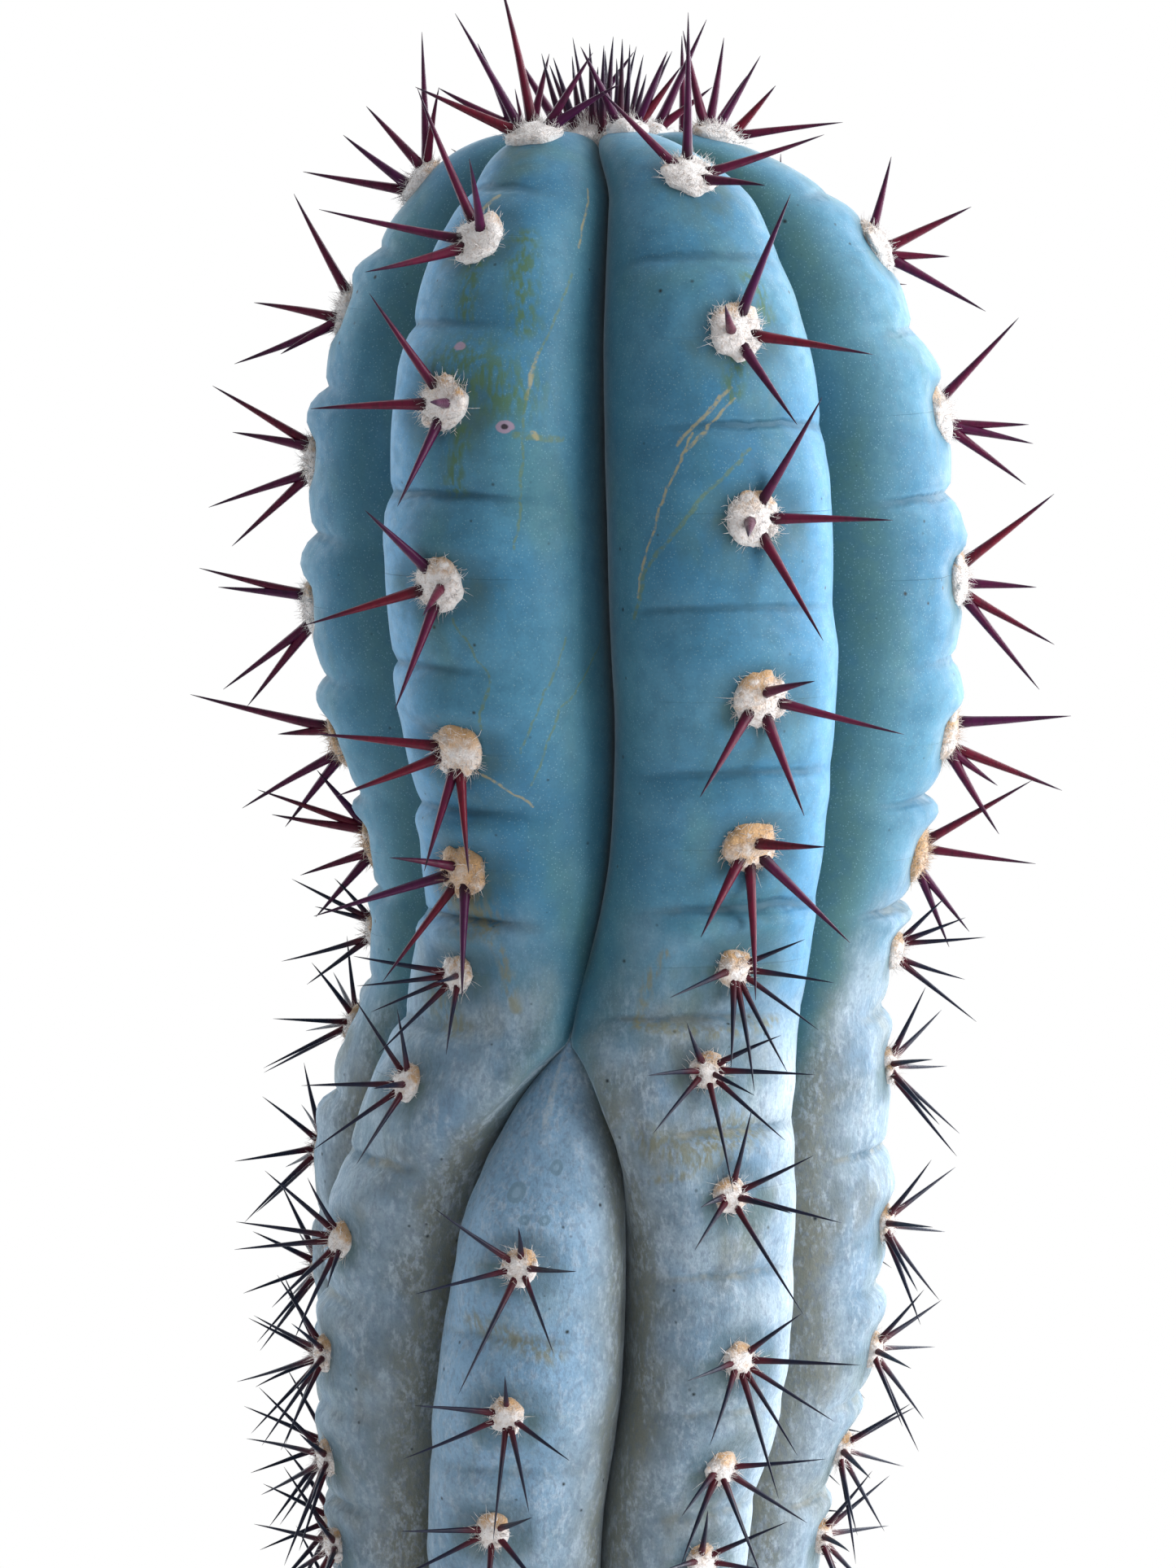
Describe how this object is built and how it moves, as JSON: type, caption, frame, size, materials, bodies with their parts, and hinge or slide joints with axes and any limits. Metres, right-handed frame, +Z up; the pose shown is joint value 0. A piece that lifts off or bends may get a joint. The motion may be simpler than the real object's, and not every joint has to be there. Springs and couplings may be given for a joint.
{
  "type": "potted tall cactus",
  "caption": "Tall blue columnar cactus with rounded ribs, woolly areoles and dark spines, growing in a plain round clay pot filled with gritty soil.",
  "frame": {"origin": "middle of the pot's underside, on the surface it stands on", "axes": "+Z up along the stem, -Y towards the front of the plant, +X to its right as seen from the front"},
  "size_m": [0.19, 0.19, 0.6173],
  "materials": {
    "terracotta": "matt unglazed clay",
    "soil": "dry gritty cactus soil",
    "blue_skin": "waxy matt blue-green skin with pale bloom",
    "felt": "cream woolly areole felt",
    "spines": "smooth dark red to near-black spines"
  },
  "bodies": {
    "root": {"pot": "terracotta", "soil": "soil", "stem": "blue_skin", "crown_tuft": "spines", "spines_back_left_01": "spines", "spines_back_left_02": "spines", "spines_back_right_01": "spines", "spines_front_left_01": "spines", "spines_front_left_02": "spines", "spines_front_left_03": "spines", "spines_front_left_04": "spines", "spines_front_left_05": "spines", "spines_front_left_06": "spines", "spines_front_left_07": "spines", "spines_front_left_08": "spines", "spines_front_left_09": "spines", "spines_front_left_10": "spines", "spines_front_left_11": "spines", "spines_front_left_12": "spines", "spines_front_middle_01": "spines", "spines_front_middle_02": "spines", "spines_front_middle_03": "spines", "spines_front_middle_04": "spines", "spines_front_right_01": "spines", "spines_front_right_02": "spines", "spines_front_right_03": "spines", "spines_front_right_04": "spines", "spines_front_right_05": "spines", "spines_front_right_06": "spines", "spines_front_right_07": "spines", "spines_front_right_08": "spines", "spines_front_right_09": "spines", "spines_front_right_10": "spines", "spines_front_right_11": "spines", "spines_front_right_12": "spines", "spines_left_01": "spines", "spines_left_02": "spines", "spines_left_03": "spines", "spines_left_04": "spines", "spines_left_05": "spines", "spines_left_06": "spines", "spines_left_07": "spines", "spines_left_08": "spines", "spines_left_09": "spines", "spines_left_10": "spines", "spines_left_11": "spines", "spines_left_12": "spines", "spines_left_13": "spines", "spines_right_01": "spines", "spines_right_02": "spines", "spines_right_03": "spines", "spines_right_04": "spines", "spines_right_05": "spines", "spines_right_06": "spines", "spines_right_07": "spines", "spines_right_08": "spines", "spines_right_09": "spines", "spines_right_10": "spines", "spines_right_11": "spines", "spines_right_12": "spines"}
  },
  "joints": []
}
